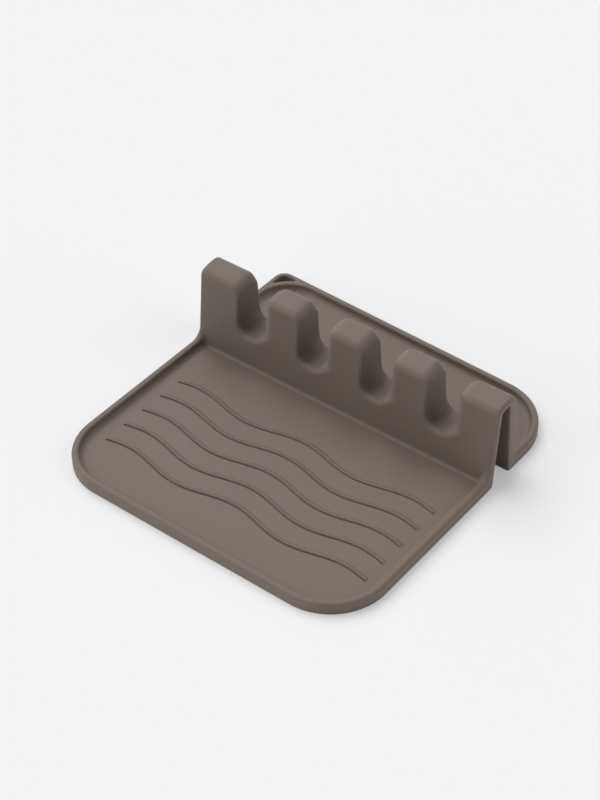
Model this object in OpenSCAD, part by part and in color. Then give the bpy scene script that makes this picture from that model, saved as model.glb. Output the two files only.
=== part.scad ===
/* [Footprint] */
// Width over the side rims
tray_w = 165; // [150:1:190]
// Depth over the hanging corner
tray_d = 169.6; // [160:0.1:200]
// Turn of the rear edge, which makes the right side shorter than the left, in degrees
rear_turn = 1.83; // [0:0.01:3]
// Radius of the front corners and of the right rear corner
corner_r = 28.3; // [20:0.1:32]
// Radius of the rim where it passes the hanging corner
loop_r = 21.5; // [18:0.1:26]

/* [Floor and rims] */
// Thickness of the two floors
floor_t = 2.6; // [1.6:0.1:3]
// Height of the rims above the table
rim_h = 6; // [5.8:0.1:8]
// Width of a rim from its outer face to its inner wall
rim_w = 4.7; // [3.5:0.1:6]
// Radius on the top edges of the rims and on the edges of the rack's two ends
edge_r = 1.4; // [0.6:0.1:1.7]
// Radius of the fillets where walls meet a floor
foot_r = 1.8; // [0.6:0.1:1.9]

/* [Wave ribs] */
// Width of a rib at the floor
rib_w = 2.8; // [1.6:0.1:4]
// Height of a rib above the floor
rib_h = 1.1; // [0.5:0.1:2]
// Distance from a side of the tray to a rib's end
rib_margin = 9.6; // [9:0.1:20]
// Distance from the front edge to the middle of the first rib
rib_first = 27.3; // [20:0.1:30]
// Distance from the middle of the last rib to the foot of the rack
rib_gap = 27.96; // [20:0.01:34]
// Height of a wave from its middle line
wave_a = 2.5; // [0:0.1:4]
// Length of one wave
wave_len = 59.8; // [40:0.1:80]
// Distance from the left side to the crest near the middle
wave_crest = 83.8; // [60:0.1:110]

/* [Rack] */
// Distance from the rack's back at the table to the rear edge, along the right side
rear_d = 38.42; // [35:0.01:44]
// Depth of the rack at the table
rack_d = 21.4; // [20:0.1:26]
// Height of the rack above the table
rack_h = 44; // [40:0.1:60]
// Backward lean of the front wall, in degrees
front_lean = 5.64; // [2:0.01:6]
// Forward lean of the back wall, in degrees
back_lean = 4; // [1:0.1:5]
// Radius of the top edge at the front
crown_r = 6.5; // [5:0.1:7]
// Radius of the top edge at the back
ridge_r = 2.2; // [1.5:0.1:3]
// Thickness of the front wall, of the top and of the walls between hollow and slots
wall_t = 3.3; // [2.5:0.1:3.6]
// Thickness of the back wall
back_wall_t = 5; // [3.5:0.1:5.5]
// Radius inside the hollow at the top of the back wall
hollow_r = 1.2; // [0.6:0.1:1.5]
// Radius of the sweep from the rim's top up the rack's end
sweep_r = 5; // [3:0.1:8]

/* [Slots] */
// Width of a slot
slot_w = 15; // [11:0.1:17]
// Distance from one slot to the next
slot_pitch = 35.2; // [32:0.1:37]
// Height of the lowest point of a slot above the table
slot_z = 20; // [17:0.1:23]
// Radius on the edges of a slot
lip_r = 3.2; // [1:0.1:3.4]
// Radius of the teeth's top corners, seen from the front
tooth_r = 4; // [3.5:0.1:5]

/* [Hanging eye] */
// Radius of the outer corner
eye_r = 6; // [4:0.1:9]
// Width of the band round the eye
eye_band = 2.6; // [2:0.1:3.2]
// Radius in the eye's outer corner
eye_hole_r = 2; // [1:0.1:3]

/* [Hidden] */
$fn = 64;
// Length by which a cut runs past the solid that it cuts
cut_over = 2;
slots = 4;
ribs = 5;
// Steps along a rib, steps across its round top and angles of the rings in its round ends
rib_steps = 44;
bead_steps = 4;
cap_turns = [18, 40, 65];
// Shift of the teeth's top corners towards the slots, so that their arcs meet the slots' sides at a slight angle
tooth_shift = 0.1;
silicone = [0.51, 0.475, 0.445];
silicone_light = [0.55, 0.51, 0.48];
silicone_dark = [0.45, 0.415, 0.39];
full_turn = 360;
half_turn = 180;
quarter_turn = 90;

// Distance from the outer face of a rim to where its fillet reaches the floor
rim_foot = rim_w + foot_r;
// The rear edge is a line with this direction outwards
rear_out = [sin(rear_turn), cos(rear_turn)];
eye_c = [eye_r, tray_d - eye_r];
rear_reach = rear_out * eye_c + eye_r;
// Depth at a distance from the left side of the line that runs this far inside the rear edge
function rear_y(x, inset) = (rear_reach - inset - x * rear_out.x) / rear_out.y;
loop_c = [loop_r, rear_y(loop_r, loop_r)];
back_c = [tray_w - corner_r, rear_y(tray_w - corner_r, corner_r)];

rack_back = rear_y(tray_w, 0) - rear_d;
rack_front = rack_back - rack_d;
rib_pitch = (rack_front - rib_first - rib_gap) / (ribs - 1);
crown_c = [
    rack_front + (rack_h - crown_r) * tan(front_lean) + crown_r / cos(front_lean),
    rack_h - crown_r
];
ridge_c = [
    rack_back - (rack_h - ridge_r) * tan(back_lean) - ridge_r / cos(back_lean),
    rack_h - ridge_r
];
to_left = [-1, 0];
to_right = [1, 0];
to_top = [0, 1];
front_out = [-cos(front_lean), sin(front_lean)];
back_out = [cos(back_lean), sin(back_lean)];

slot_r = slot_w / 2;
slot_mid_z = slot_z + slot_r;
// Height at which the teeth begin, above the curves at the slots' round bottoms
tooth_z = slot_mid_z + lip_r;
slot_x = [for (i = [0 : slots - 1]) tray_w / 2 + (i - (slots - 1) / 2) * slot_pitch];

// Where the rack's own piece of floor ends, in front and behind
sweep_z = rim_h + sweep_r;
sweep_c = [rack_front + sweep_z * tan(front_lean) - sweep_r / cos(front_lean), sweep_z];
join_front = sweep_c.x;
join_back = rack_back + foot_r + foot_r;

// Places a child drawn from the tray's front left corner about the middle of the footprint
module centred() {
    translate([-tray_w / 2, -tray_d / 2, 0]) children();
}

// Draws a child's outline, which lies in depth and height, along the width
module across(length) {
    rotate([quarter_turn, 0, quarter_turn]) linear_extrude(length) children();
}

// Draws a child's outline, which lies in width and height, along the depth
module along(from, to) {
    translate([0, to, 0]) rotate([quarter_turn, 0, 0]) linear_extrude(to - from) children();
}

// Cutter that rounds an outline's corner about a centre, between faces with these directions outwards
module round_cut(centre, radius, out_1, out_2) {
    reach = radius + cut_over;
    difference() {
        polygon([
            centre, centre + reach * out_1,
            centre + reach * (out_1 + out_2) / (1 + out_1 * out_2), centre + reach * out_2
        ]);
        translate(centre) circle(radius);
    }
}

// Section of a rim from its outer face inwards, with its fillet onto the floor
module rim_profile() {
    difference() {
        inner_profile(0);
        round_cut([edge_r, rim_h - edge_r], edge_r, to_left, to_top);
    }
}

// The same section with a square outer edge that stands this far outside
module inner_profile(outside) {
    foot_z = floor_t + foot_r;
    difference() {
        polygon([
            [-outside, 0], [-outside, rim_h], [rim_w, rim_h], [rim_w, foot_z], [rim_foot, foot_z], [rim_foot, 0]
        ]);
        round_cut([rim_w - edge_r, rim_h - edge_r], edge_r, to_top, to_right);
        translate([rim_foot, foot_z]) circle(foot_r);
    }
}

// Rim round a corner of the given outer radius, about its centre
module rim_corner(radius, turn) {
    rotate_extrude(angle = turn) translate([radius, 0]) mirror([1, 0]) rim_profile();
}

// Floor plate of the front tray
module front_floor() {
    radius = corner_r - rim_foot;
    color(silicone) centred() linear_extrude(floor_t) difference() {
        translate([rim_foot, rim_foot]) square([tray_w - rim_foot - rim_foot, join_front - rim_foot]);
        round_cut([corner_r, corner_r], radius, to_left, -to_top);
        round_cut([tray_w - corner_r, corner_r], radius, to_right, -to_top);
    }
}

// Front rim with the tray's two front corners
module front_rim() {
    color(silicone_dark) centred() {
        translate([corner_r, 0, 0]) across(tray_w - corner_r - corner_r) rim_profile();
        translate([corner_r, corner_r, 0]) rotate(half_turn) rim_corner(corner_r, quarter_turn);
        translate([tray_w - corner_r, corner_r, 0]) rotate(-quarter_turn) rim_corner(corner_r, quarter_turn);
    }
}

// Rim along the left side of the front tray
module side_rim() {
    along(corner_r, join_front) rim_profile();
}

module left_rim() {
    color(silicone_light) centred() side_rim();
}

module right_rim() {
    color(silicone_light) centred() translate([tray_w, 0, 0]) mirror([1, 0, 0]) side_rim();
}

// Middle line of a wave rib, and the direction square to it, at a distance from the left side
function wave_turn(x) = full_turn * (x - wave_crest) / wave_len;
function wave_y(x) = wave_a * cos(wave_turn(x));
function wave_slope(x) = -wave_a * sin(wave_turn(x)) * 2 * PI / wave_len;
function wave_side(x) = [-wave_slope(x), 1] / norm([-wave_slope(x), 1]);

// One ring of a rib: a half ellipse on the floor, drawn smaller towards the round ends
function rib_ring(x, share) = [
    for (i = [0 : bead_steps])
        let (turn = half_turn * i / bead_steps, side = share * rib_w / 2 * cos(turn) * wave_side(x))
        [x + side.x, wave_y(x) + side.y, share * rib_h * sin(turn)]
];

// Wave rib with round ends, as a bead swept along the wave
module wave_rib(i) {
    first = rib_margin + rib_w / 2;
    last = tray_w - first;
    stations = concat(
        [for (t = cap_turns) [first - rib_w / 2 * cos(t), sin(t)]],
        [for (k = [0 : rib_steps]) [first + (last - first) * k / rib_steps, 1]],
        [for (k = [1 : len(cap_turns)]) let (t = cap_turns[len(cap_turns) - k]) [last + rib_w / 2 * cos(t), sin(t)]]
    );
    n = bead_steps + 1;
    rings = len(stations);
    points = [for (s = stations) each rib_ring(s[0], s[1])];
    walls = [
        for (k = [0 : rings - 2], j = [0 : n - 1])
            let (a = k * n + j, b = k * n + (j + 1) % n)
            each [[a, b, b + n], [a, b + n, a + n]]
    ];
    caps = [
        for (j = [1 : n - 2])
            each [[0, j + 1, j], [(rings - 1) * n, (rings - 1) * n + j, (rings - 1) * n + j + 1]]
    ];
    color(silicone_light) centred() translate([0, rib_first + i * rib_pitch, floor_t])
        polyhedron(points = points, faces = concat(walls, caps));
}

// Section between the two leaning walls, from a base height up to a top with two rounded edges
module arch_section(front, back, base, top, top_c, top_r, end_c, end_r) {
    difference() {
        polygon([
            [front + base * tan(front_lean), base], [front + top * tan(front_lean), top],
            [back - top * tan(back_lean), top], [back - base * tan(back_lean), base]
        ]);
        round_cut(top_c, top_r, front_out, to_top);
        round_cut(end_c, end_r, back_out, to_top);
    }
}

// Outer section of the rack, from a base height up
module rack_section(base) {
    arch_section(rack_front, rack_back, base, rack_h, crown_c, crown_r, ridge_c, ridge_r);
}

// Section of the hollow under the rack, open at the table
module hollow_section() {
    front = rack_front + wall_t / cos(front_lean);
    back = rack_back - back_wall_t / cos(back_lean);
    top = rack_h - wall_t;
    end_z = top - hollow_r;
    end_c = [back - end_z * tan(back_lean) - hollow_r / cos(back_lean), end_z];
    arch_section(front, back, -cut_over, top, crown_c, crown_r - wall_t, end_c, hollow_r);
}

// Wedge under a concave arc that joins a level surface to a wall's face
module fillet_section(centre, radius, face_out, inside) {
    level = centre.y - radius;
    difference() {
        polygon([
            [centre.x, 0], [centre.x, level], centre - radius * face_out, [inside, level], [inside, 0]
        ]);
        translate(centre) circle(radius);
    }
}

// Section of the floor in front of the rack and behind it, with both fillets
module foot_section() {
    z = floor_t + foot_r;
    mid = (rack_front + rack_back) / 2;
    front = [rack_front + z * tan(front_lean) - foot_r / cos(front_lean), z];
    back = [rack_back - z * tan(back_lean) + foot_r / cos(back_lean), z];
    translate([join_front, 0]) square([mid - join_front, floor_t]);
    translate([mid, 0]) square([join_back - mid, floor_t]);
    fillet_section(front, foot_r, front_out, mid);
    fillet_section(back, foot_r, back_out, mid);
}

// Cutter that rounds an upright edge whose solid lies towards +X and +Y
module edge_cut(length) {
    linear_extrude(length) difference() {
        translate([-cut_over, -cut_over]) square(edge_r + cut_over);
        translate([edge_r, edge_r]) circle(edge_r);
    }
}

// Cutter that rounds the edge of a bent surface, about the bend's axis; the solid lies inside the bend
module bend_cut(bend, from, turn) {
    start = max(0, bend - edge_r);
    rotate([quarter_turn, 0, quarter_turn]) rotate(from) rotate_extrude(angle = turn) difference() {
        translate([start, -cut_over]) square([bend + cut_over - start, edge_r + cut_over]);
        translate([bend - edge_r, edge_r]) circle(edge_r);
    }
}

// Cutter for the edge of the rack's end along the top and this far down the front wall
module front_cut(length) {
    translate([0, crown_c.x, crown_c.y]) {
        bend_cut(crown_r, quarter_turn, quarter_turn - front_lean);
        rotate([-front_lean, 0, 0]) translate([0, -crown_r, -length]) edge_cut(length);
        translate([0, 0, crown_r]) rotate([-quarter_turn, 0, 0]) edge_cut(ridge_c.x - crown_c.x);
    }
}

// Cutter for the edge of the rack's end from the top down the rear wall to the rim
module back_cut() {
    length = (ridge_c.y + ridge_r * back_out.y - rim_h) / cos(back_lean);
    translate([0, ridge_c.x, ridge_c.y]) {
        bend_cut(ridge_r, back_lean, quarter_turn - back_lean);
        rotate([back_lean, 0, 0]) mirror([0, 1, 0]) translate([0, -ridge_r, -length]) edge_cut(length);
    }
}

// Cutter that carries the rim's rounded edge up the sweep and then this far up the front wall
module sweep_cut(length) {
    translate([0, sweep_c.x, sweep_c.y]) {
        rotate([quarter_turn, 0, quarter_turn]) rotate(-quarter_turn)
            rotate_extrude(angle = quarter_turn - front_lean) difference() {
                translate([sweep_r - edge_r, -cut_over]) square([edge_r + edge_r, edge_r + cut_over]);
                translate([sweep_r + edge_r, edge_r]) circle(edge_r);
            }
        rotate([-front_lean, 0, 0]) translate([0, sweep_r, 0]) edge_cut(length);
    }
}

// Cutter for the rounded edge of a slot on a face, with the face as the level plane
module lip_cut(length) {
    rotate(half_turn) rotate_extrude(angle = half_turn) lip_section();
    for (side = [0, 1]) mirror([side, 0, 0])
        translate([0, length, 0]) rotate([quarter_turn, 0, 0]) linear_extrude(length) lip_section();
}

module lip_section() {
    difference() {
        translate([slot_r / 2, -lip_r]) square([slot_r / 2 + lip_r, lip_r + cut_over]);
        translate([slot_r + lip_r, -lip_r]) circle(lip_r);
    }
}

// Outline of a slot in width and height, grown by a margin
module slot_outline(margin) {
    radius = slot_r + margin;
    translate([0, slot_mid_z]) circle(radius);
    translate([-radius, slot_mid_z]) square([2 * radius, rack_h + cut_over - slot_mid_z]);
}

// Cutter of one slot with its rounded edges up to a length above the slot's round bottom
module slot_cut(length) {
    along(rack_front - cut_over, rack_back + cut_over) slot_outline(0);
    front_z = slot_mid_z + lip_r * sin(front_lean);
    back_z = slot_mid_z + lip_r * sin(back_lean);
    translate([0, rack_front + front_z * tan(front_lean), front_z])
        rotate([quarter_turn - front_lean, 0, 0]) lip_cut(length);
    translate([0, rack_back - back_z * tan(back_lean), back_z])
        mirror([0, 1, 0]) rotate([quarter_turn - back_lean, 0, 0]) lip_cut(length);
}

// Lower part of the rack, up to the foot of the teeth
module rack_base() {
    color(silicone_dark) centred() difference() {
        union() {
            across(tray_w) intersection() {
                rack_section(0);
                square([rack_back, tooth_z]);
            }
            across(tray_w) foot_section();
            for (side = [0, 1]) translate([side * tray_w, 0, 0]) mirror([side, 0, 0]) {
                along(join_front, join_back) rim_profile();
                across(rim_w) fillet_section(sweep_c, sweep_r, front_out, rack_front + wall_t);
            }
        }
        difference() {
            translate([-cut_over, 0, 0]) across(tray_w + cut_over + cut_over) hollow_section();
            for (x = slot_x) translate([x, 0, 0]) along(rack_front, rack_back) slot_outline(wall_t);
        }
        for (x = slot_x) translate([x, 0, 0]) slot_cut(slot_r);
        for (side = [0, 1]) translate([side * tray_w, 0, 0]) mirror([side, 0, 0]) {
            sweep_cut(tooth_z);
            back_cut();
        }
    }
}

// Cutter for the edge of the outer teeth's ends
module end_cut() {
    front_cut(rack_h - slot_mid_z);
    back_cut();
}

// Outline of a tooth in width and height, with its top corners rounded on the sides of the slots
module tooth_outline(from, to, round_left, round_right) {
    side_z = rack_h - tooth_r;
    inset = tooth_r - tooth_shift;
    difference() {
        translate([from, 0]) square([to - from, rack_h]);
        if (round_left) round_cut([from + inset, side_z], tooth_r, to_left, to_top);
        if (round_right) round_cut([to - inset, side_z], tooth_r, to_right, to_top);
    }
}

// Tooth between two slots, or between a slot and an end of the rack, hollow from below
module tooth(i) {
    first = i == 0;
    last = i == slots;
    from = first ? 0 : slot_x[i - 1] + slot_r;
    to = last ? tray_w : slot_x[i] - slot_r;
    hollow_from = first ? -cut_over : from + wall_t;
    hollow_to = last ? tray_w + cut_over : to - wall_t;
    color(silicone) centred() difference() {
        intersection() {
            translate([from, 0, 0]) across(to - from) rack_section(tooth_z);
            along(rack_front, rack_back) tooth_outline(from, to, !first, !last);
        }
        translate([hollow_from, 0, 0]) across(hollow_to - hollow_from) hollow_section();
        if (!first) translate([slot_x[i - 1], 0, 0]) slot_cut(rack_h);
        if (!last) translate([slot_x[i], 0, 0]) slot_cut(rack_h);
        if (first) end_cut();
        if (last) translate([tray_w, 0, 0]) mirror([1, 0, 0]) end_cut();
    }
}

// Floor plate of the narrow tray behind the rack
module rear_floor() {
    side = tray_w - rim_foot;
    color(silicone) centred() linear_extrude(floor_t) difference() {
        polygon([
            [rim_foot, join_back], [rim_foot, rear_y(rim_foot, rim_foot)],
            [side, rear_y(side, rim_foot)], [side, join_back]
        ]);
        round_cut(loop_c, loop_r - rim_foot, to_left, rear_out);
        round_cut(back_c, corner_r - rim_foot, rear_out, to_right);
    }
}

// Rim along the rear edge and round the right rear corner
module rear_rim() {
    run = norm(back_c + corner_r * rear_out - loop_c - loop_r * rear_out);
    color(silicone_dark) centred() translate(back_c) rotate(-rear_turn) {
        translate([0, corner_r, 0]) rotate(half_turn) across(run) rim_profile();
        mirror([1, -1, 0]) rim_corner(corner_r, quarter_turn - rear_turn);
    }
}

// Rim along the left side of the rear tray
module rear_left_rim() {
    color(silicone_light) centred() along(join_back, loop_c.y) rim_profile();
}

// Rim along the right side of the rear tray
module rear_right_rim() {
    color(silicone_light) centred() translate([tray_w, 0, 0]) mirror([1, 0, 0])
        along(join_back, back_c.y) rim_profile();
}

// Section of a block that reaches this far inwards from its rounded top outer edge
module block_profile(width) {
    difference() {
        square([width, rim_h]);
        round_cut([edge_r, rim_h - edge_r], edge_r, to_left, to_top);
    }
}

// Block round the hanging eye: along the left side, round the outer corner and along the rear edge
module eye_block() {
    run = norm(loop_c + loop_r * rear_out - eye_c - eye_r * rear_out);
    translate(eye_c) {
        translate([-eye_r, 0, 0]) along(loop_c.y - eye_c.y, 0) block_profile(loop_c.x);
        rotate(quarter_turn - rear_turn) rotate_extrude(angle = quarter_turn + rear_turn)
            translate([eye_r, 0]) mirror([1, 0]) block_profile(eye_r);
        rotate(half_turn - rear_turn) translate([-run, -eye_r, 0]) across(run) block_profile(loop_r);
    }
}

// Outline of the hanging eye, between its band and the tray's bent rim
module eye_outline() {
    x = eye_band + eye_hole_r;
    difference() {
        polygon([
            loop_c, loop_c + (loop_r - eye_band) * rear_out, [eye_band, rear_y(eye_band, eye_band)],
            [eye_band, loop_c.y]
        ]);
        round_cut([x, rear_y(x, x)], eye_hole_r, to_left, rear_out);
        translate(loop_c) circle(loop_r);
    }
}

// Corner with the hanging eye, between the left rim and the rear rim
module hanging_corner() {
    color(silicone_dark) centred() difference() {
        intersection() {
            eye_block();
            translate(loop_c) rotate_extrude() translate([loop_r, 0]) mirror([1, 0]) inner_profile(loop_r);
        }
        translate([0, 0, -cut_over]) linear_extrude(rim_h + cut_over + cut_over) eye_outline();
    }
}

front_floor();
front_rim();
left_rim();
right_rim();
wave_rib(0);  // wave_rib_1
wave_rib(1);  // wave_rib_2
wave_rib(2);  // wave_rib_3
wave_rib(3);  // wave_rib_4
wave_rib(4);  // wave_rib_5
rack_base();
tooth(0);  // tooth_1
tooth(1);  // tooth_2
tooth(2);  // tooth_3
tooth(3);  // tooth_4
tooth(4);  // tooth_5
rear_floor();
rear_rim();
rear_left_rim();
rear_right_rim();
hanging_corner();
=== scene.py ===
"""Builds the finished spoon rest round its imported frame, with the stage, lights and camera."""

import math

import bmesh
import bpy
import numpy as np
from mathutils import Matrix, Vector


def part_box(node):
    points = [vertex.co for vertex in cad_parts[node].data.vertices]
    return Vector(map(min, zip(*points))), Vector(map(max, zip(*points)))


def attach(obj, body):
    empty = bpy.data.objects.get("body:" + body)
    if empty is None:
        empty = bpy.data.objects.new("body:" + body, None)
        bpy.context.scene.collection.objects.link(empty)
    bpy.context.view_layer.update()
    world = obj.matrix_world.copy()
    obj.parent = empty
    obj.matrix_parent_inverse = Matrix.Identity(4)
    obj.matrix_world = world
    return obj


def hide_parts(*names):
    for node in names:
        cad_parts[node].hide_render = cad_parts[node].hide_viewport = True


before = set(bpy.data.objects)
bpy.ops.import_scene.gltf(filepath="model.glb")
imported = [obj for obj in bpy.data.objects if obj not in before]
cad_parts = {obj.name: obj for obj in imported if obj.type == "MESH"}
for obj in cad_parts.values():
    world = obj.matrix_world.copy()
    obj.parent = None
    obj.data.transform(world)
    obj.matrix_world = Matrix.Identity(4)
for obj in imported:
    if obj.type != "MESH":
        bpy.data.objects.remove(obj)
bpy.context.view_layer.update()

bl_info = {
    "name": "Spoon Rest",
    "version": (1, 0, 0),
    "blender": (4, 5, 0),
    "location": "View3D > Sidebar > Spoon Rest",
    "description": "Moulded silicone spoon rest with a slotted rack",
    "category": "Object",
}

MM = 0.001
BODY = "root"
TEETH = ["tooth_%d" % number for number in range(1, 6)]
RIBS = ["wave_rib_%d" % number for number in range(1, 6)]
RIM_LOW, RIM_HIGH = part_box("front_rim")
FLOOR_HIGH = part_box("front_floor")[1]
TOOTH_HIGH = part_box("tooth_1")[1]
REAR_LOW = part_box("rear_floor")[0]
EYE_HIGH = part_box("hanging_corner")[1]
RIB_LOW, RIB_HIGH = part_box(RIBS[0])
RIB_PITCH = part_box(RIBS[1])[0].y - RIB_LOW.y
SLOT_SIDES = [(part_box(a)[1].x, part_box(b)[0].x) for a, b in zip(TEETH, TEETH[1:])]
SLOT_MIDDLES = [(left + right) / 2 for left, right in SLOT_SIDES]
SLOT_WIDTH = SLOT_SIDES[0][1] - SLOT_SIDES[0][0]

# Points closer than this are one point
SAME_POINT = 0.001 * MM
# Points closer to a cut than this, in metres, lie on it
ON_CUT = 1e-9
# Rounds that even out the mesh, and rounds that seat it on the surface afterwards
EVENING_ROUNDS = 3
SEATING_ROUNDS = 3
# Lower limit of a squared slope, so that a flat stretch of the field moves no point far
LEAST_SLOPE = 0.05
# Depths under the rack's top, in radii, between which a slot's edge widens to the radius of a tooth's corner
LIP_TOP_START = 1.6
LIP_TOP_END = 0.5
# Points across a rib, and the power that draws its top to a crest
RIB_POINTS = 15
RIB_CREST_POWER = 1.15
# A little over 1, so that a rib's round end keeps some width at its tip
RIB_TIP = 1.0001
# Detail and roughness of the noise in the silicone's clouds and in its grain
CLOUD_NOISE = {"Detail": 3, "Roughness": 0.45}
GRAIN_NOISE = {"Detail": 2, "Roughness": 0.5}
# Stretches of the clouds' noise over which the colour and the roughness change
COLOUR_RANGE = {"From Min": 0.35, "From Max": 0.65}
ROUGHNESS_RANGE = {"From Min": 0.3, "From Max": 0.7}
ROUGHNESS_SPREAD = 0.05
# Side of the floor, in metres, and its roughness
FLOOR_SIDE = 6
FLOOR_ROUGHNESS = 0.9
# Directions of the lights in degrees: to the right of the front, and above the horizon
LIGHTS = {"key": (257, 58), "back": (222, 42), "left": (315, 28), "front": (345, 28), "right": (112, 28)}
# Point on the table at the middle of the picture, and the nearest distance that the camera sees, in metres
CAMERA_TARGET = Vector((-19.93 * MM, 18.2 * MM, 0))
CAMERA_CLIP_START = 0.01


def length(name, description, default):
    """A size in metres"""
    return bpy.props.FloatProperty(
        name=name, description=description, default=default, min=0, unit="LENGTH", precision=5
    )


def share(name, description, default, top=1):
    """A plain number"""
    return bpy.props.FloatProperty(name=name, description=description, default=default, min=0, max=top)


def turn(name, description, default):
    """An angle, given here in degrees"""
    return bpy.props.FloatProperty(
        name=name, description=description, default=math.radians(default), unit="ROTATION"
    )


def colour(name, description, default):
    """A linear colour"""
    return bpy.props.FloatVectorProperty(
        name=name, description=description, default=default, size=3, min=0, max=1, subtype="COLOR"
    )


class SPOONREST_PG_tray(bpy.types.PropertyGroup):
    """Sizes of the two trays and their rims"""

    rim_height: length("Rim height", "Height of the rims above the table", RIM_HIGH.z)
    floor: length("Floor", "Thickness of the floors", FLOOR_HIGH.z)
    rim: length("Rim width", "Width of a rim's top from the outer face to the inner wall", 3.3 * MM)
    edge: length("Edge radius", "Radius on the rims' outer top edges", 1.2 * MM)
    inner: length("Inner radius", "Radius on the rims' inner top edges", 1.1 * MM)
    foot: length("Foot radius", "Radius between the inner walls and the floors", 2.6 * MM)
    sole: length("Sole radius", "Radius on the edges that stand on the table", 0.4 * MM)
    corner: length("Corner radius", "Radius of the front corners and the right rear corner", 28.3 * MM)
    loop: length("Loop radius", "Radius of the rim beside the hanging eye", 21.5 * MM)
    rear_turn: turn("Rear turn", "Turn of the rear edge", 1.83)


class SPOONREST_PG_rack(bpy.types.PropertyGroup):
    """Sizes of the hollow rack"""

    front: length("Place", "Distance from the front edge to the rack's foot", 104.7 * MM)
    depth: length("Depth", "Depth of the rack at the table", 21.4 * MM)
    height: length("Height", "Height above the table", TOOTH_HIGH.z)
    front_lean: turn("Front lean", "Backward lean of the front wall", 5.64)
    back_lean: turn("Back lean", "Forward lean of the back wall", 4)
    bow: length("Bow radius", "Radius of the top's gentle bow from front to back", 27 * MM)
    apex: length("Apex", "Distance from the rack's foot to the highest line of the top", 13.9 * MM)
    crown: length("Crown radius", "Radius of the top edge at the front", 2.4 * MM)
    ridge: length("Ridge radius", "Radius of the top edge at the back", 4 * MM)
    wall: length("Wall", "Thickness of the front wall, the top and the slots' walls", 3.3 * MM)
    back_wall: length("Back wall", "Thickness of the back wall", 5.6 * MM)
    slot: length("Slot height", "Height of the slots' lowest points", 18.2 * MM)
    slot_width: length("Slot width", "Width of a slot", SLOT_WIDTH - 1 * MM)
    slot_shift: length("Slot shift", "Distance of the slots to the right of the teeth's gaps", 0.5 * MM)
    slot_bend: length("Slot bend", "Radius between a slot's sides and its bottom", 6 * MM)
    mouth: length("Mouth radius", "Radius on the edges of the hollow", 0.7 * MM)
    foot: length("Foot radius", "Radius between the rack and the floors", 1.5 * MM)
    sweep: length("Sweep radius", "Radius between the rims' tops and the rack's ends", 5 * MM)
    end_edge: length("End radius", "Radius on the edges of the rack's ends", 1.7 * MM)
    lip: length("Left lip radius", "Radius on the upright edges on the slots' left", 1.6 * MM)
    lip_right: length("Right lip radius", "Radius on the upright edges on the slots' right", 6 * MM)
    lip_low: length("Low lip radius", "Radius on the slots' lowest edges", 2.6 * MM)
    lip_top: length("Top lip radius", "Radius on the teeth's top corners", 4.6 * MM)


class SPOONREST_PG_eye(bpy.types.PropertyGroup):
    """Sizes of the hanging eye"""

    corner: length("Outer radius", "Radius of the outer corner", 6 * MM)
    band: length("Band", "Width of the band round the eye", 2.6 * MM)
    edge: length("Edge radius", "Radius on the eye's edges", 0.7 * MM)
    hole: length("Hole radius", "Radius in the corners of the eye", 1.2 * MM)


class SPOONREST_PG_ribs(bpy.types.PropertyGroup):
    """Sizes of the wave ribs"""

    width: length("Width", "Width of a rib at the floor", 2.4 * MM)
    lean: bpy.props.FloatProperty(
        name="Lean", description="Place of a rib's top: -1 at its front edge, 1 at its rear edge",
        default=-0.6, min=-1, max=1,
    )
    height: length("Height", "Height of a rib above the floor", RIB_HIGH.z - RIB_LOW.z)
    trim_left: length("Left trim", "Length taken off a rib's left end", 1.6 * MM)
    sink: length("Sink", "Depth to which a rib's foot lies in the floor", 0.15 * MM)
    wave: length("Wave height", "Height of a wave from its middle line", 2.5 * MM)
    wave_length: length("Wave length", "Length of one wave", 59.8 * MM)
    crest: length("Crest", "Distance of a crest to the right of the middle", 1.3 * MM)
    step: length("Step", "Length of a step along a rib", 0.5 * MM)


class SPOONREST_PG_silicone(bpy.types.PropertyGroup):
    """Colours and finish of the silicone"""

    base: colour("Base", "Colour of the silicone", (0.147, 0.117, 0.098))
    pale: colour("Pale", "Colour of its paler clouds", (0.158, 0.126, 0.105))
    roughness: share("Roughness", "Roughness of the surface", 0.62)
    specular: share("Specular", "Strength of the gloss", 0.25)
    sheen: share("Sheen", "Strength of the soft sheen at a flat angle", 0.06)
    sheen_roughness: share("Sheen roughness", "Roughness of the sheen", 0.5)
    grain: length("Grain", "Size of the surface's fine grain", 0.5 * MM)
    grain_depth: length("Grain depth", "Depth of the fine grain", 0.03 * MM)
    grain_strength: share("Grain strength", "Strength of the grain's relief", 0.25)
    cloud: length("Cloud", "Size of the colour's soft clouds", 22 * MM)


class SPOONREST_PG_stage(bpy.types.PropertyGroup):
    """Camera and light"""

    azimuth: turn("Azimuth", "Turn of the camera to the right of the front", 38.326)
    elevation: turn("Elevation", "Height of the camera as an angle", 41.298)
    roll: turn("Roll", "Turn of the picture", -0.803)
    distance: length("Distance", "Distance from the camera to its target", 873.39 * MM)
    lens: bpy.props.FloatProperty(name="Lens", description="Focal length", default=85.5, unit="CAMERA")
    floor: colour("Floor", "Colour of the floor", (0.87, 0.87, 0.885))
    shadow: share("Shadow", "Share of the floor's shadows that the camera sees", 0.62)
    glow: share("Glow", "Light that the floor round the object gives", 0.3)
    world: share("World", "Strength of the light all round", 0.01)
    key: share("Key", "Brightness of the main light, high up on the left", 0.67, 4)
    back: share("Back", "Brightness of the light behind on the left", 0.2, 4)
    left: share("Left", "Brightness of the low light in front on the left", 0.22, 4)
    front: share("Front", "Brightness of the low light in front", 0.21, 4)
    right: share("Right", "Brightness of the low light on the right, a little behind", 0.3, 4)
    softness: turn("Softness", "Angle that each light covers in the sky", 56)


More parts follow.
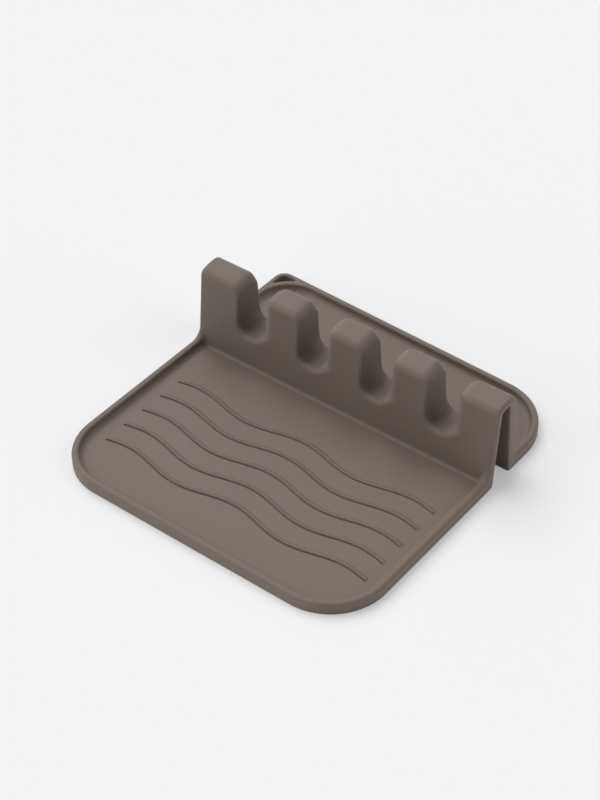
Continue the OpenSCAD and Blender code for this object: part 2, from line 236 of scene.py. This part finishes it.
class SPOONREST_PG_all(bpy.types.PropertyGroup):
    """All settings of the spoon rest"""

    tray: bpy.props.PointerProperty(type=SPOONREST_PG_tray, name="Tray")
    rack: bpy.props.PointerProperty(type=SPOONREST_PG_rack, name="Rack")
    eye: bpy.props.PointerProperty(type=SPOONREST_PG_eye, name="Eye")
    ribs: bpy.props.PointerProperty(type=SPOONREST_PG_ribs, name="Ribs")
    silicone: bpy.props.PointerProperty(type=SPOONREST_PG_silicone, name="Silicone")
    stage: bpy.props.PointerProperty(type=SPOONREST_PG_stage, name="Stage")


def settings():
    """The spoon rest's settings in this scene"""
    return bpy.context.scene.spoon_rest


# Solids as distances in metres, negative inside


def joined(a, b, radius):
    """Union of two solids, with a fillet of this radius where they meet"""
    inner = np.hypot(np.maximum(radius - a, 0), np.maximum(radius - b, 0))
    return np.maximum(radius, np.minimum(a, b)) - inner


def common(a, b, radius):
    """What two solids share, with its edge rounded to this radius"""
    return -joined(-a, -b, radius)


def ramp(value, start, end):
    """Smooth step from 0 at start to 1 at end"""
    t = np.clip((value - start) / (end - start), 0, 1)
    return t * t * (3 - 2 * t)


def rear_edge():
    """Direction outwards of the rear edge, in width and depth, and its distance from the origin that way"""
    tray, eye = settings().tray, settings().eye
    out = (math.sin(tray.rear_turn), math.cos(tray.rear_turn))
    reach = (eye.corner - RIM_HIGH.x) * out[0] + (EYE_HIGH.y - eye.corner) * out[1] + eye.corner
    return out, reach


def outline(x, y, rear_left):
    """Distance to the footprint's outline, whose left rear corner has this radius"""
    tray = settings().tray
    side = RIM_HIGH.x
    out, reach = rear_edge()
    left, right, front, rear = -x - side, x - side, RIM_LOW.y - y, x * out[0] + y * out[1] - reach
    corners = [
        common(left, front, tray.corner), common(right, front, tray.corner),
        common(right, rear, tray.corner), common(left, rear, rear_left),
    ]
    return np.maximum.reduce(corners)


def loop_centre():
    """Centre of the rim's bend beside the hanging eye"""
    tray = settings().tray
    out, reach = rear_edge()
    x = tray.loop - RIM_HIGH.x
    return x, (reach - tray.loop - x * out[0]) / out[1]


def trays(x, y, z):
    """The floors and rims, which run on outwards and downwards"""
    tray = settings().tray
    recess = common(outline(x, y, tray.loop) + tray.rim, tray.floor - z, tray.foot)
    return common(z - tray.rim_height, -recess, tray.inner)


def arch(y, z, front_wall, back_wall, crown, ridge):
    """Section of the rack under its bowed top, drawn in by these walls, with these radii on its top edges"""
    rack = settings().rack
    foot = RIM_LOW.y + rack.front
    front = (foot - y) * math.cos(rack.front_lean) + z * math.sin(rack.front_lean) + front_wall
    back = (y - foot - rack.depth) * math.cos(rack.back_lean) + z * math.sin(rack.back_lean) + back_wall
    top = z - rack.height + (y - foot - rack.apex) ** 2 / (2 * rack.bow) + front_wall
    return np.maximum(common(front, top, crown), common(back, top, ridge))


def across_slot(x):
    """Distance to the right of the nearest slot's middle"""
    middles = np.array(SLOT_MIDDLES)[:, None] + settings().rack.slot_shift
    offsets = x - middles
    return np.take_along_axis(offsets, np.abs(offsets).argmin(0)[None], 0)[0]


def slots(x, z):
    """Distance to the nearest slot, seen from the front"""
    rack = settings().rack
    return common(np.abs(across_slot(x)) - rack.slot_width / 2, rack.slot - z, rack.slot_bend)


def slot_lip(x, z):
    """Radius on a slot's edges, which is largest on its right and on the teeth's top corners"""
    rack = settings().rack
    right = ramp(across_slot(x), 0, rack.slot_width / 2)
    lip = rack.lip + (rack.lip_right - rack.lip) * right
    low = ramp(z, rack.slot + rack.slot_bend, rack.slot)
    high = ramp(z, rack.height - LIP_TOP_START * rack.lip_top, rack.height - LIP_TOP_END * rack.lip_top)
    return lip + (rack.lip_low - lip) * low + np.maximum(rack.lip_top - lip, 0) * high


def eye_hole(x, y):
    """The hanging eye, seen from above"""
    tray, eye = settings().tray, settings().eye
    cx, cy = loop_centre()
    band = outline(x, y, eye.corner) + eye.band
    hole = common(band, tray.loop - np.hypot(x - cx, y - cy), eye.hole)
    return np.maximum.reduce([hole, x - cx, cy - y])


def moulding(points):
    """Distance to the whole moulding without its ribs"""
    tray, rack, eye = settings().tray, settings().rack, settings().eye
    x, y, z = points.T
    over_rim = ramp(np.abs(x), RIM_HIGH.x - tray.rim - tray.foot, RIM_HIGH.x - tray.rim + tray.edge)
    foot = rack.foot + (rack.sweep - rack.foot) * over_rim
    foot = np.where(y > RIM_LOW.y + rack.front + rack.depth / 2, rack.foot, foot)
    solid = joined(trays(x, y, z), arch(y, z, 0, 0, rack.crown, rack.ridge), foot)
    slot = slots(x, z)
    solid = common(solid, -slot, slot_lip(x, z))
    edge = tray.edge + (rack.end_edge - tray.edge) * ramp(z, tray.rim_height, tray.rim_height + rack.sweep)
    solid = common(solid, outline(x, y, eye.corner), edge)
    inside = arch(y, z, rack.wall, rack.back_wall, rack.mouth, rack.mouth)
    hollow = common(inside, rack.wall - slot, rack.mouth)
    solid = common(solid, -hollow, rack.mouth)
    solid = common(solid, -eye_hole(x, y), eye.edge)
    return common(solid, -z, tray.sole)


def ticks(*stretches):
    """Grid lines from stretches of (start, end, step)"""
    lines = []
    for start, end, step in stretches:
        lines.extend(np.linspace(start, end, max(1, round((end - start) / step)), endpoint=False))
    lines.append(stretches[-1][1])
    return np.array(lines)


def surface_net(field, axes):
    """Points and four-sided faces of a field's zero surface: a point in each cell, a face round each edge"""
    grid = np.stack(np.meshgrid(*axes, indexing="ij"), -1)
    value = field(grid.reshape(-1, 3)).reshape(grid.shape[:3])
    cells = [n - 1 for n in value.shape]
    total = np.zeros((math.prod(cells), 3))
    count = np.zeros(math.prod(cells))
    corners, flips = [], []
    for axis in range(3):
        low = [slice(None)] * 3
        high = [slice(None)] * 3
        low[axis], high[axis] = slice(None, -1), slice(1, None)
        a, b = value[tuple(low)], value[tuple(high)]
        at = np.argwhere((a < 0) != (b < 0))
        key = tuple(at.T)
        share_of_edge = (a[key] / (a[key] - b[key]))[:, None]
        start, end = grid[tuple(low)][key], grid[tuple(high)][key]
        crossing = start + share_of_edge * (end - start)
        u, v = np.eye(3, dtype=int)[(axis + 1) % 3], np.eye(3, dtype=int)[(axis + 2) % 3]
        ring = []
        for back in (0 * u, u, u + v, v):
            cell = np.ravel_multi_index(tuple((at - back).T), cells)
            for k in range(3):
                total[:, k] += np.bincount(cell, crossing[:, k], len(total))
            count += np.bincount(cell, minlength=len(count))
            ring.append(cell)
        corners.append(np.stack(ring, 1))
        flips.append(a[key] < 0)
    faces, flip = np.concatenate(corners), np.concatenate(flips)
    faces[flip] = faces[flip][:, ::-1]
    used = np.flatnonzero(count)
    number = np.full(len(count), -1)
    number[used] = np.arange(len(used))
    return total[used] / count[used, None], number[faces][:, ::-1]


def slope(field, points, reach=0.01 * MM):
    """Gradient of a field"""
    steps = np.eye(3) * reach
    return np.stack([(field(points + s) - field(points - s)) / (2 * reach) for s in steps], 1)


def seated(field, points, rounds):
    """Points moved onto a field's zero surface"""
    for _ in range(rounds):
        gradient = slope(field, points)
        squared = np.maximum((gradient**2).sum(1), LEAST_SLOPE)
        points = points - (field(points) / squared)[:, None] * gradient
    return points


def relaxed(field, points, faces, rounds):
    """Points evened out along a field's zero surface"""
    pairs = np.concatenate([faces[:, [k, (k + 1) % 4]] for k in range(4)])
    count = np.bincount(pairs[:, 0], minlength=len(points))[:, None]
    for _ in range(rounds):
        near = np.stack([np.bincount(pairs[:, 0], points[pairs[:, 1], k], len(points)) for k in range(3)], 1)
        points = seated(field, (points + near / count) / 2, 1)
    return seated(field, points, SEATING_ROUNDS)


def grid_axes():
    """Grid lines that are close where the moulding bends and wide on its flats"""
    tray, rack = settings().tray, settings().rack
    margin, fine, wide, finest = 1 * MM, 0.75 * MM, 2.2 * MM, 0.5 * MM
    side, front, rear = RIM_HIGH.x + margin, RIM_LOW.y, EYE_HIGH.y
    foot = front + rack.front
    corner_end = front + tray.corner
    rack_start = foot - 3 * rack.sweep
    rack_end = foot + rack.depth + rack.sweep
    corner_start = rear - tray.corner - rack.sweep
    x = ticks((-side, side, fine))
    y = ticks(
        (front - margin, corner_end, fine), (corner_end, rack_start, wide), (rack_start, rack_end, fine),
        (rack_end, corner_start, wide / 2), (corner_start, rear + margin, fine),
    )
    rim, low = tray.rim_height + margin, rack.slot - rack.lip_low
    z = ticks((-margin, rim, finest), (rim, low, fine), (low, rack.height + margin, fine))
    return x, y, z


class Silicone:
    """The moulding's mesh, worked out once and cut into pieces"""

    points = None
    faces = None

    @classmethod
    def mesh(cls):
        """Points and four-sided faces of the moulding"""
        if cls.points is None:
            points, faces = surface_net(moulding, grid_axes())
            cls.points, cls.faces = relaxed(moulding, points, faces, EVENING_ROUNDS), faces
        return cls.points, cls.faces


def cut_piece(name, low, high):
    """The stretch of the moulding between two depths, closed where it is cut, with exact normals"""
    points, faces = Silicone.mesh()
    depth = points[faces][:, :, 1]
    keep = np.ones(len(faces), bool)
    if low is not None:
        keep &= depth.max(1) > low
    if high is not None:
        keep &= depth.min(1) < high
    used, index = np.unique(faces[keep], return_inverse=True)
    mesh = bpy.data.meshes.new(name)
    mesh.from_pydata(points[used].tolist(), [], index.reshape(-1, 4).tolist())
    bm = bmesh.new()
    bm.from_mesh(mesh)
    caps = bm.faces.layers.int.new("cap")
    for place, side in ((low, -1), (high, 1)):
        if place is None:
            continue
        geometry = list(bm.verts) + list(bm.edges) + list(bm.faces)
        cut = bmesh.ops.bisect_plane(
            bm, geom=geometry, dist=ON_CUT, plane_co=(0, place, 0), plane_no=(0, side, 0), clear_outer=True
        )
        rim = [e for e in cut["geom_cut"] if isinstance(e, bmesh.types.BMEdge) and e.is_boundary]
        filled = bmesh.ops.triangle_fill(bm, edges=rim, normal=(0, side, 0), use_beauty=True)
        for face in filled["geom"]:
            if isinstance(face, bmesh.types.BMFace):
                face[caps] = side
    bm.to_mesh(mesh)
    bm.free()
    set_normals(mesh)
    piece = bpy.data.objects.new(name, mesh)
    bpy.context.scene.collection.objects.link(piece)
    return piece


def set_normals(mesh):
    """Shades a mesh with the moulding's own normals, and its cut faces flat"""
    mesh.shade_smooth()
    co = np.zeros(len(mesh.vertices) * 3)
    mesh.vertices.foreach_get("co", co)
    normal = slope(moulding, co.reshape(-1, 3))
    normal /= np.linalg.norm(normal, axis=1)[:, None]
    loop_vertex = np.zeros(len(mesh.loops), int)
    mesh.loops.foreach_get("vertex_index", loop_vertex)
    corner_normal = normal[loop_vertex]
    side = np.zeros(len(mesh.polygons), int)
    mesh.attributes["cap"].data.foreach_get("value", side)
    size = np.zeros(len(mesh.polygons), int)
    mesh.polygons.foreach_get("loop_total", size)
    loop_side = np.repeat(side, size)
    corner_normal[loop_side != 0] = 0
    corner_normal[:, 1] += loop_side
    mesh.normals_split_custom_set(corner_normal.tolist())


class Nodes:
    """A node tree under construction"""

    def __init__(self, tree):
        self.tree = tree

    def add(self, kind, sockets=None, **fields):
        """A node with its fields and input values, or links where a value is a socket"""
        node = self.tree.nodes.new(kind)
        for field, value in fields.items():
            setattr(node, field, value)
        for socket, value in (sockets or {}).items():
            if isinstance(value, bpy.types.NodeSocket):
                self.link(value, node.inputs[socket])
            else:
                node.inputs[socket].default_value = value
        return node

    def link(self, source, target):
        """Joins an output to an input"""
        self.tree.links.new(source, target)

    def math(self, operation, *values):
        """Result of a sum on numbers and sockets"""
        return self.add("ShaderNodeMath", dict(enumerate(values)), operation=operation).outputs[0]

    def vector(self, **parts):
        """Vector from its parts by axis"""
        return self.add("ShaderNodeCombineXYZ", parts).outputs[0]

    def position(self):
        """Distances along the axes of each point's place"""
        place = self.add("GeometryNodeInputPosition").outputs[0]
        return self.add("ShaderNodeSeparateXYZ", {0: place}).outputs


def silicone_material():
    """Matte moulded silicone with soft clouds of colour and a fine grain"""
    found = bpy.data.materials.get("moulded_silicone")
    if found:
        return found
    look = settings().silicone
    material = bpy.data.materials.new("moulded_silicone")
    material.use_nodes = True
    nodes = Nodes(material.node_tree)
    shader = material.node_tree.nodes["Principled BSDF"]
    place = nodes.add("ShaderNodeTexCoord").outputs["Object"]
    cloud = nodes.add("ShaderNodeTexNoise", {"Vector": place, "Scale": 1 / look.cloud, **CLOUD_NOISE})
    tone = nodes.add("ShaderNodeMapRange", {"Value": cloud.outputs["Fac"], **COLOUR_RANGE})
    mix = nodes.add("ShaderNodeMixRGB", {0: tone.outputs["Result"], 1: (*look.base, 1), 2: (*look.pale, 1)})
    rough = nodes.add("ShaderNodeMapRange", {
        "Value": cloud.outputs["Fac"], **ROUGHNESS_RANGE,
        "To Min": look.roughness - ROUGHNESS_SPREAD, "To Max": look.roughness + ROUGHNESS_SPREAD,
    })
    grain = nodes.add("ShaderNodeTexNoise", {"Vector": place, "Scale": 1 / look.grain, **GRAIN_NOISE})
    bump = nodes.add("ShaderNodeBump", {
        "Height": grain.outputs["Fac"], "Strength": look.grain_strength, "Distance": look.grain_depth,
    })
    nodes.link(mix.outputs[0], shader.inputs["Base Color"])
    nodes.link(rough.outputs["Result"], shader.inputs["Roughness"])
    nodes.link(bump.outputs["Normal"], shader.inputs["Normal"])
    shader.inputs["Specular IOR Level"].default_value = look.specular
    shader.inputs["Sheen Weight"].default_value = look.sheen
    shader.inputs["Sheen Roughness"].default_value = look.sheen_roughness
    return material


def finish_piece(piece, *nodes):
    """Gives a piece its material and body, and hides the nodes that it stands for"""
    piece.data.materials.clear()
    piece.data.materials.append(silicone_material())
    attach(piece, BODY)
    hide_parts(*nodes)


class SPOONREST_OT_front_tray(bpy.types.Operator):
    """Makes the front tray with its floor and rims"""

    bl_idname = "spoonrest.front_tray"
    bl_label = "Front Tray"

    def execute(self, context):
        piece = cut_piece("front_tray", None, FLOOR_HIGH.y)
        finish_piece(piece, "front_floor", "front_rim", "left_rim", "right_rim")
        return {"FINISHED"}


class SPOONREST_OT_rack(bpy.types.Operator):
    """Makes the hollow rack with its slots and teeth"""

    bl_idname = "spoonrest.rack"
    bl_label = "Rack"

    def execute(self, context):
        piece = cut_piece("rack", FLOOR_HIGH.y, REAR_LOW.y)
        finish_piece(piece, "rack_base", *TEETH)
        return {"FINISHED"}


class SPOONREST_OT_rear_tray(bpy.types.Operator):
    """Makes the rear tray with its rims and the hanging eye"""

    bl_idname = "spoonrest.rear_tray"
    bl_label = "Rear Tray"

    def execute(self, context):
        piece = cut_piece("rear_tray", REAR_LOW.y, None)
        finish_piece(piece, "rear_floor", "rear_rim", "rear_left_rim", "rear_right_rim", "hanging_corner")
        return {"FINISHED"}


def rib_lines(nodes, size):
    """Middle lines of the ribs: a straight line repeated in a row, then swayed into waves"""
    line = nodes.add(
        "GeometryNodeCurvePrimitiveLine",
        {"Start": nodes.vector(X=size["Start"]), "End": nodes.vector(X=size["End"])},
    )
    steps = nodes.math("DIVIDE", nodes.math("SUBTRACT", size["End"], size["Start"]), size["Step"])
    fine = nodes.add("GeometryNodeResampleCurve", {"Curve": line.outputs[0], "Count": steps})
    row = nodes.add("GeometryNodeMeshLine", {
        "Count": size["Count"], "Start Location": nodes.vector(Y=size["First"], Z=size["Level"]),
        "Offset": nodes.vector(Y=size["Pitch"]),
    })
    points, copy = row.outputs[0], fine.outputs[0]
    placed = nodes.add("GeometryNodeInstanceOnPoints", {"Points": points, "Instance": copy})
    lines = nodes.add("GeometryNodeRealizeInstances", {"Geometry": placed.outputs[0]})
    x = nodes.position()["X"]
    phase = nodes.math("DIVIDE", nodes.math("SUBTRACT", x, size["Crest"]), size["Wave Length"])
    swing = nodes.math("COSINE", nodes.math("MULTIPLY", phase, 2 * math.pi))
    sway = nodes.vector(Y=nodes.math("MULTIPLY", swing, size["Wave"]))
    return nodes.add("GeometryNodeSetPosition", {"Geometry": lines.outputs[0], "Offset": sway}).outputs[0]


def rib_ends(nodes, size, half):
    """Share of a rib's full section at a place along it, which falls to nothing in its round ends"""
    x = nodes.position()["X"]
    from_start = nodes.math("SUBTRACT", x, size["Start"])
    from_end = nodes.math("MINIMUM", from_start, nodes.math("SUBTRACT", size["End"], x))
    gap = nodes.math("MAXIMUM", nodes.math("SUBTRACT", 1, nodes.math("DIVIDE", from_end, half)), 0)
    return nodes.math("SQRT", nodes.math("SUBTRACT", RIB_TIP, nodes.math("MULTIPLY", gap, gap)))


def rib_section(nodes, size, half):
    """Section of a rib: a leaning bell that starts a little below the floor"""
    edge = nodes.add("GeometryNodeCurvePrimitiveLine", {"Start": (-1, 0, 0), "End": (1, 0, 0)})
    edge = nodes.add("GeometryNodeResampleCurve", {"Curve": edge.outputs[0], "Count": RIB_POINTS})
    u = nodes.position()["X"]
    slant = nodes.math("SUBTRACT", 1, nodes.math("MULTIPLY", u, size["Lean"]))
    leant = nodes.math("DIVIDE", nodes.math("SUBTRACT", u, size["Lean"]), slant)
    cosine = nodes.math("MAXIMUM", nodes.math("COSINE", nodes.math("MULTIPLY", leant, math.pi / 2)), 0)
    bell = nodes.math("POWER", cosine, RIB_CREST_POWER)
    height = nodes.math("SUBTRACT", nodes.math("MULTIPLY", bell, size["Height"]), size["Sink"])
    place = nodes.vector(X=nodes.math("MULTIPLY", u, half), Y=height)
    edge = nodes.add("GeometryNodeSetPosition", {"Geometry": edge.outputs[0], "Position": place})
    return nodes.add("GeometryNodeSetSplineCyclic", {"Geometry": edge.outputs[0], "Cyclic": True}).outputs[0]


def rib_tree():
    """Geometry nodes that lay a row of round-ended beads along waves"""
    tree = bpy.data.node_groups.new("wave ribs", "GeometryNodeTree")
    inputs = {
        "Float": [
            "Start", "End", "First", "Pitch", "Level", "Width", "Lean", "Height", "Sink", "Wave",
            "Wave Length", "Crest", "Step",
        ],
        "Int": ["Count"],
        "Material": ["Material"],
    }
    for kind, names in inputs.items():
        for name in names:
            tree.interface.new_socket(name=name, in_out="INPUT", socket_type="NodeSocket" + kind)
    tree.interface.new_socket(name="Geometry", in_out="OUTPUT", socket_type="NodeSocketGeometry")
    nodes = Nodes(tree)
    size = nodes.add("NodeGroupInput").outputs
    half = nodes.math("DIVIDE", size["Width"], 2)
    sized = nodes.add(
        "GeometryNodeSetCurveRadius", {"Curve": rib_lines(nodes, size), "Radius": rib_ends(nodes, size, half)}
    )
    upright = nodes.add("GeometryNodeSetCurveNormal", {"Curve": sized.outputs[0]}, mode="Z_UP")
    bead = nodes.add("GeometryNodeCurveToMesh", {
        "Curve": upright.outputs[0], "Profile Curve": rib_section(nodes, size, half), "Fill Caps": True,
    })
    smooth = nodes.add("GeometryNodeSetShadeSmooth", {"Geometry": bead.outputs[0]})
    solid = nodes.add("GeometryNodeRealizeInstances", {"Geometry": smooth.outputs[0]})
    done = nodes.add("GeometryNodeSetMaterial", {"Geometry": solid.outputs[0], "Material": size["Material"]})
    nodes.add("NodeGroupOutput", {0: done.outputs[0]})
    return tree


def grown(name, tree, values):
    """Mesh object that a geometry nodes tree makes from named inputs"""
    piece = bpy.data.objects.new(name, bpy.data.meshes.new(name))
    bpy.context.scene.collection.objects.link(piece)
    modifier = piece.modifiers.new(name, "NODES")
    modifier.node_group = tree
    for item in tree.interface.items_tree:
        if item.in_out == "INPUT":
            modifier[item.identifier] = values[item.name]
    bpy.context.view_layer.update()
    ready = piece.evaluated_get(bpy.context.evaluated_depsgraph_get())
    mesh = bpy.data.meshes.new_from_object(ready)
    piece.modifiers.remove(modifier)
    piece.data = mesh
    mesh.name = name
    bm = bmesh.new()
    bm.from_mesh(mesh)
    bmesh.ops.remove_doubles(bm, verts=bm.verts, dist=SAME_POINT)
    bmesh.ops.recalc_face_normals(bm, faces=bm.faces)
    bm.to_mesh(mesh)
    bm.free()
    return piece


class SPOONREST_OT_wave_ribs(bpy.types.Operator):
    """Lays the wave ribs on the front tray's floor"""

    bl_idname = "spoonrest.wave_ribs"
    bl_label = "Wave Ribs"

    def execute(self, context):
        ribs = settings().ribs
        middle = (RIB_LOW.y + RIB_HIGH.y) / 2
        piece = grown("wave_ribs", rib_tree(), {
            "Start": RIB_LOW.x + ribs.trim_left, "End": RIB_HIGH.x,
            "First": middle, "Pitch": RIB_PITCH, "Count": len(RIBS), "Level": FLOOR_HIGH.z,
            "Width": ribs.width, "Lean": ribs.lean, "Height": ribs.height + ribs.sink, "Sink": ribs.sink,
            "Wave": ribs.wave, "Wave Length": ribs.wave_length, "Crest": ribs.crest, "Step": ribs.step,
            "Material": silicone_material(),
        })
        finish_piece(piece, *RIBS)
        return {"FINISHED"}


def seen_directly(nodes):
    """1 for what the camera sees, straight or in a reflection or through glass, and 0 for other light"""
    path = nodes.add("ShaderNodeLightPath").outputs
    mirrored = nodes.math("MAXIMUM", path["Is Glossy Ray"], path["Is Transmission Ray"])
    return nodes.math("MAXIMUM", path["Is Camera Ray"], mirrored)


def stage_floor():
    """Pale floor that is seen with softened shadows, and lights the object a little from all round"""
    stage = settings().stage
    bpy.ops.mesh.primitive_plane_add(size=FLOOR_SIDE)
    floor = bpy.context.object
    floor.name = "floor"
    material = bpy.data.materials.new("floor")
    material.use_nodes = True
    nodes = Nodes(material.node_tree)
    shader = material.node_tree.nodes["Principled BSDF"]
    shader.inputs["Base Color"].default_value = (*stage.floor, 1)
    shader.inputs["Roughness"].default_value = FLOOR_ROUGHNESS
    shader.inputs["Specular IOR Level"].default_value = 0
    even = nodes.add("ShaderNodeEmission", {"Color": (*stage.floor, 1), "Strength": 1})
    seen = seen_directly(nodes)
    mix = nodes.add(
        "ShaderNodeMixShader",
        {0: nodes.math("MULTIPLY", seen, 1 - stage.shadow), 1: shader.outputs[0], 2: even.outputs[0]},
    )
    place = nodes.add("ShaderNodeSeparateXYZ", {0: nodes.add("ShaderNodeTexCoord").outputs["Object"]}).outputs
    across = nodes.math("DIVIDE", nodes.math("ABSOLUTE", place["X"]), RIM_HIGH.x)
    along = nodes.math("DIVIDE", nodes.math("ABSOLUTE", place["Y"]), EYE_HIGH.y)
    beside = nodes.math("GREATER_THAN", nodes.math("MAXIMUM", across, along), 1)
    hidden = nodes.math("MULTIPLY", beside, nodes.math("SUBTRACT", 1, seen))
    glow = nodes.add("ShaderNodeEmission", {"Strength": nodes.math("MULTIPLY", hidden, stage.glow)})
    both = nodes.add("ShaderNodeAddShader", {0: mix.outputs[0], 1: glow.outputs[0]})
    nodes.link(both.outputs[0], material.node_tree.nodes["Material Output"].inputs["Surface"])
    floor.data.materials.append(material)


def direction(azimuth, elevation):
    """Unit vector at an angle to the right of the front and a height above the horizon"""
    level = math.cos(elevation)
    return Vector((math.sin(azimuth) * level, -math.cos(azimuth) * level, math.sin(elevation)))


def soft_light(name, azimuth, elevation, brightness):
    """Far light that covers a wide angle, and gives a white surface square to it this brightness"""
    lamp = bpy.data.lights.new(name, "SUN")
    lamp.energy = math.pi * brightness
    lamp.angle = settings().stage.softness
    light = bpy.data.objects.new(name, lamp)
    back = direction(math.radians(azimuth), math.radians(elevation))
    light.matrix_world = Matrix.LocRotScale(back, back.to_track_quat("Z", "Y"), None)
    bpy.context.scene.collection.objects.link(light)


def stage_lights():
    """A weak light all round, which is seen as bright as the floor, and the soft lights"""
    stage = settings().stage
    world = bpy.data.worlds.new("studio")
    bpy.context.scene.world = world
    world.use_nodes = True
    nodes = Nodes(world.node_tree)
    background = world.node_tree.nodes["Background"]
    background.inputs["Color"].default_value = (1, 1, 1, 1)
    strength = nodes.add(
        "ShaderNodeMapRange", {"Value": seen_directly(nodes), "To Min": stage.world, "To Max": stage.floor[0]}
    )
    nodes.link(strength.outputs["Result"], background.inputs["Strength"])
    for name, (azimuth, elevation) in LIGHTS.items():
        soft_light(name, azimuth, elevation, getattr(stage, name))


def stage_camera():
    """Camera at the photograph's viewing angle"""
    stage = settings().stage
    back = direction(stage.azimuth, stage.elevation)
    right = (-back).cross(Vector((0, 0, 1))).normalized()
    up = right.cross(-back)
    turned = Matrix((
        math.cos(stage.roll) * right + math.sin(stage.roll) * up,
        math.cos(stage.roll) * up - math.sin(stage.roll) * right, back
    )).transposed().to_4x4()
    lens = bpy.data.cameras.new("camera")
    lens.lens = stage.lens
    lens.clip_start = CAMERA_CLIP_START
    camera = bpy.data.objects.new("camera", lens)
    camera.matrix_world = Matrix.Translation(CAMERA_TARGET + back * stage.distance) @ turned
    bpy.context.scene.collection.objects.link(camera)
    bpy.context.scene.camera = camera


class SPOONREST_OT_stage(bpy.types.Operator):
    """Sets the floor, the lights and the camera"""

    bl_idname = "spoonrest.stage"
    bl_label = "Stage"

    def execute(self, context):
        stage_floor()
        stage_lights()
        stage_camera()
        context.scene.view_settings.view_transform = "Standard"
        return {"FINISHED"}


OPERATORS = [
    SPOONREST_OT_stage, SPOONREST_OT_front_tray, SPOONREST_OT_rack, SPOONREST_OT_rear_tray,
    SPOONREST_OT_wave_ribs,
]


class SPOONREST_PT_panel(bpy.types.Panel):
    """Lists the steps in the sidebar"""

    bl_idname = "SPOONREST_PT_panel"
    bl_label = "Spoon Rest"
    bl_space_type = "VIEW_3D"
    bl_region_type = "UI"
    bl_category = "Spoon Rest"

    def draw(self, context):
        for operator in OPERATORS:
            self.layout.operator(operator.bl_idname)


CLASSES = [
    SPOONREST_PG_tray, SPOONREST_PG_rack, SPOONREST_PG_eye, SPOONREST_PG_ribs, SPOONREST_PG_silicone,
    SPOONREST_PG_stage, SPOONREST_PG_all, *OPERATORS, SPOONREST_PT_panel,
]


def register():
    """Makes the settings, the steps and the panel known"""
    for cls in CLASSES:
        bpy.utils.register_class(cls)
    bpy.types.Scene.spoon_rest = bpy.props.PointerProperty(type=SPOONREST_PG_all)


def unregister():
    """Takes them out again"""
    del bpy.types.Scene.spoon_rest
    for cls in reversed(CLASSES):
        bpy.utils.unregister_class(cls)


def main():
    """Makes the stage and the pieces"""
    register()
    bpy.ops.spoonrest.stage()
    bpy.ops.spoonrest.front_tray()
    bpy.ops.spoonrest.rack()
    bpy.ops.spoonrest.rear_tray()
    bpy.ops.spoonrest.wave_ribs()


if __name__ == "__main__":
    main()
